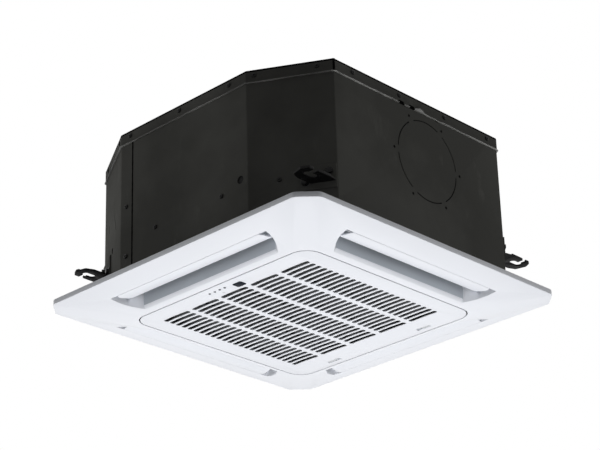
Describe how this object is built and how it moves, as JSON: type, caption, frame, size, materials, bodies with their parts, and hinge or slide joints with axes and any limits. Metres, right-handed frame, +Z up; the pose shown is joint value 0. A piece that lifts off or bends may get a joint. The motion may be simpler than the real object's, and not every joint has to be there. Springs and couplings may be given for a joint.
{
  "type": "ceiling cassette air conditioner",
  "caption": "Compact square ceiling cassette: dark sheet-metal octagonal casing on corner brackets, white panel with slotted intake grille and curved air louvres on every side.",
  "frame": {"origin": "centre of the ceiling opening, on the ceiling's underside where the panel's rim rests", "axes": "+Z up into the ceiling void; the casing's shorter flat faces look along -Y and +Y, the fresh-air knock-out along +X, the grille hinges near its -Y edge"},
  "size_m": [0.647, 0.647, 0.3184],
  "materials": {
    "casing_grey": "satin, dark pre-coated sheet",
    "bracket_black": "satin black",
    "zinc": "zinc plated",
    "screw_black": "black plated, half gloss",
    "shaft_steel": "ground",
    "panel_white": "fine matt moulding",
    "grille_white": "fine matt moulding",
    "catch_grey": "matt",
    "window_dark": "gloss, smoked",
    "foam_black": "closed-cell foam",
    "pan_white": "expanded foam with a moulded skin",
    "fan_grey": "matt",
    "fin_aluminium": "bare fins",
    "copper": "copper tube",
    "union_brass": "machined",
    "plate_steel": "galvanised",
    "black_plastic": "matt",
    "grey_hose": "smooth",
    "board_green": "solder mask",
    "mesh_grey": "fine woven mesh",
    "mount_rubber": "moulded"
  },
  "bodies": {
    "casing": {"top_cover": "casing_grey", "side_plate_front": "casing_grey", "side_plate_rear": "casing_grey", "lid_screws": "screw_black", "casing_screws": "screw_black", "hanger_1": "bracket_black", "hanger_2": "bracket_black", "hanger_3": "bracket_black", "hanger_4": "bracket_black", "hanger_bolts": "screw_black", "wall_insulation": "foam_black", "top_insulation": "foam_black", "cable_gland": "black_plastic", "drain_pan": "pan_white", "bell_mouth": "black_plastic", "coil_fins": "fin_aluminium", "coil_tubes": "copper", "coil_end_plates": "plate_steel", "coil_baffle": "plate_steel", "gas_pipe": "copper", "liquid_pipe": "copper", "flare_unions": "union_brass", "pipe_cover": "casing_grey", "motor_housing": "plate_steel", "motor_stator": "copper", "motor_bearings": "shaft_steel", "motor_mounts": "mount_rubber", "motor_bolts": "zinc", "drain_pump": "black_plastic", "pump_bracket": "plate_steel", "drain_hose": "grey_hose", "drain_spigot": "black_plastic", "control_box": "plate_steel", "control_box_cover": "plate_steel", "control_board": "board_green", "terminal_block": "black_plastic", "panel_frame": "panel_white", "panel_gasket": "foam_black", "panel_screws": "zinc", "louvre_motors": "black_plastic", "hinge_pins": "shaft_steel"},
    "fan": {"fan_wheel": "fan_grey", "fan_shroud": "fan_grey", "fan_nut": "zinc", "motor_shaft": "shaft_steel", "motor_rotor": "shaft_steel"},
    "pump_wheel": {"pump_impeller": "black_plastic"},
    "pan_float": {"float_ring": "pan_white"},
    "vane_1": {"louvre_1": "panel_white"},
    "vane_2": {"louvre_2": "panel_white"},
    "vane_3": {"louvre_3": "panel_white"},
    "vane_4": {"louvre_4": "panel_white"},
    "grille": {"intake_grille": "grille_white", "filter_frame": "black_plastic", "filter_mesh": "mesh_grey", "display_window": "window_dark", "display_board": "board_green"},
    "left_catch": {"latch_left": "catch_grey"},
    "right_catch": {"latch_right": "catch_grey"},
    "button": {"test_button": "catch_grey"}
  },
  "joints": [
    {"name": "fan_spin", "type": "hinge", "parent": "casing", "child": "fan", "pos_m": [0, 0, 0.2], "axis": [0, 0, 1], "continuous": true},
    {"name": "pump_spin", "type": "hinge", "parent": "casing", "child": "pump_wheel", "pos_m": [-0.2328, 0.1979, 0.05], "axis": [0, 0, 1], "continuous": true},
    {"name": "float_rise", "type": "slide", "parent": "casing", "child": "pan_float", "axis": [0, 0, 1], "range_m": [0, 0.009]},
    {"name": "vane_1_tilt", "type": "hinge", "parent": "casing", "child": "vane_1", "pos_m": [0, -0.25, -0.0095], "axis": [1, 0, 0], "range_deg": [0, 50]},
    {"name": "vane_2_tilt", "type": "hinge", "parent": "casing", "child": "vane_2", "pos_m": [0.25, 0, -0.0095], "axis": [0, 1, 0], "range_deg": [0, 50]},
    {"name": "vane_3_tilt", "type": "hinge", "parent": "casing", "child": "vane_3", "pos_m": [0, 0.25, -0.0095], "axis": [-1, 0, 0], "range_deg": [0, 50]},
    {"name": "vane_4_tilt", "type": "hinge", "parent": "casing", "child": "vane_4", "pos_m": [-0.25, 0, -0.0095], "axis": [0, -1, 0], "range_deg": [0, 50]},
    {"name": "grille_swing", "type": "hinge", "parent": "casing", "child": "grille", "pos_m": [0, -0.184, -0.029], "axis": [-1, 0, 0], "range_deg": [0, 90]},
    {"name": "left_catch_slide", "type": "slide", "parent": "grille", "child": "left_catch", "axis": [1, 0, 0], "range_m": [0, 0.008], "stiffness_N_per_m": 100},
    {"name": "right_catch_slide", "type": "slide", "parent": "grille", "child": "right_catch", "axis": [-1, 0, 0], "range_m": [0, 0.008], "stiffness_N_per_m": 100},
    {"name": "button_press", "type": "slide", "parent": "grille", "child": "button", "axis": [0, 0, 1], "range_m": [0, 0.001], "stiffness_N_per_m": 500}
  ],
  "couplings": [
    {"joint": "vane_2_tilt", "follows": "vane_1_tilt", "ratio": 1},
    {"joint": "vane_3_tilt", "follows": "vane_1_tilt", "ratio": 1},
    {"joint": "vane_4_tilt", "follows": "vane_1_tilt", "ratio": 1}
  ]
}
